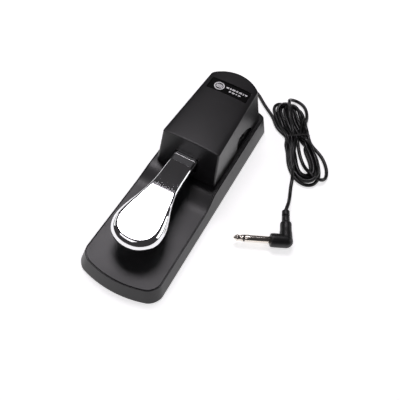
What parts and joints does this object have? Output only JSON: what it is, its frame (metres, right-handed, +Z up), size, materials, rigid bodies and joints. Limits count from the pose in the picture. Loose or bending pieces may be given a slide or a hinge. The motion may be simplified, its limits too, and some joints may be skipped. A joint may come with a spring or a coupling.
{
  "type": "sustain pedal",
  "caption": "Piano-style foot pedal: chromed hinged lever on a long black base with a drafted housing, side polarity switch and a bundled lead ending in a right-angle phone plug.",
  "frame": {"origin": "middle of the base's underside, on the floor (bounding-box bottom centre of the pedal without its free lead)", "axes": "+Z up, -Y towards the spoon of the lever (the player's foot), +X towards the side with the polarity switch"},
  "size_m": [0.1504, 0.2806, 0.0586],
  "materials": {
    "abs_base": "black ABS, fine moulded grain, satin",
    "abs_cover": "black ABS, fine moulded grain, satin to semi-gloss",
    "badge_gloss": "gloss black badge with a plain pale keyboard mark",
    "lever_chrome": "bright chrome plate, mirror polish",
    "zinc_steel": "zinc-plated pressed steel",
    "plate_steel": "black-painted sheet steel",
    "screw_steel": "zinc-plated screws",
    "spring_steel": "spring steel wire",
    "nylon": "natural nylon",
    "rubber_black": "black rubber, matte",
    "switch_black": "black switch moulding",
    "switch_red": "red switch plunger",
    "contact_metal": "tinned contact metal",
    "board_green": "green circuit board laminate",
    "wire_pvc": "thin PVC hook-up wire",
    "cord_pvc": "black PVC lead, slight sheen",
    "plug_pvc": "black moulded PVC plug body",
    "plug_nickel": "nickel-plated plug contact"
  },
  "bodies": {
    "base": {"base_shell": "abs_base", "bottom_plate": "plate_steel", "bottom_screws": "screw_steel", "front_grip_pad": "rubber_black", "rear_grip_pad": "rubber_black", "top_cover": "abs_cover", "cover_screws": "screw_steel", "badge_plate": "badge_gloss", "pivot_shaft": "zinc_steel", "shaft_clips": "spring_steel", "pivot_bracket": "zinc_steel", "bracket_screws": "screw_steel", "return_spring": "spring_steel", "spring_seat": "switch_black", "upstop_pad": "rubber_black", "downstop_buffer": "rubber_black", "switch_case": "switch_black", "switch_terminals": "contact_metal", "circuit_board": "board_green", "board_screws": "screw_steel", "polarity_case": "contact_metal", "cable_clamp": "switch_black", "clamp_screws": "screw_steel", "inner_cable": "cord_pvc", "signal_wires": "wire_pvc", "cable_gland": "cord_pvc", "cable_lead": "cord_pvc", "cable_hank": "cord_pvc", "hank_tie": "switch_black", "cable_tail": "cord_pvc", "plug_boot": "plug_pvc", "plug_body": "plug_pvc", "plug_sleeve": "plug_nickel", "plug_insulator": "plug_pvc", "plug_tip": "plug_nickel"},
    "pedal": {"pedal_lever": "lever_chrome", "rocker_arm": "zinc_steel", "lever_screws": "screw_steel", "pivot_bushes": "nylon"},
    "leaf": {"switch_leaf": "contact_metal"},
    "plunger": {"switch_plunger": "switch_red"},
    "knob": {"polarity_knob": "switch_black"}
  },
  "joints": [
    {"name": "pedal_hinge", "type": "hinge", "parent": "base", "child": "pedal", "pos_m": [-0.0015, 0.06, 0.0315], "axis": [1, 0, 0], "range_deg": [0, 6], "stiffness_Nm_per_rad": 9.5, "springref_deg": -6.02, "deforming": ["return_spring"]},
    {"name": "leaf_hinge", "type": "hinge", "parent": "base", "child": "leaf", "pos_m": [-0.0015, 0.047, 0.0326], "axis": [1, 0, 0], "range_deg": [0, 15]},
    {"name": "plunger_slide", "type": "slide", "parent": "base", "child": "plunger", "axis": [0, 0, -1], "range_m": [0, 0.0012]},
    {"name": "polarity_slide", "type": "slide", "parent": "base", "child": "knob", "axis": [0, 1, 0], "range_m": [0, 0.003]}
  ],
  "couplings": [
    {"joint": "leaf_hinge", "follows": "pedal_hinge", "ratio": 2.43},
    {"joint": "plunger_slide", "follows": "pedal_hinge", "m_per_rad": 0.0112}
  ]
}
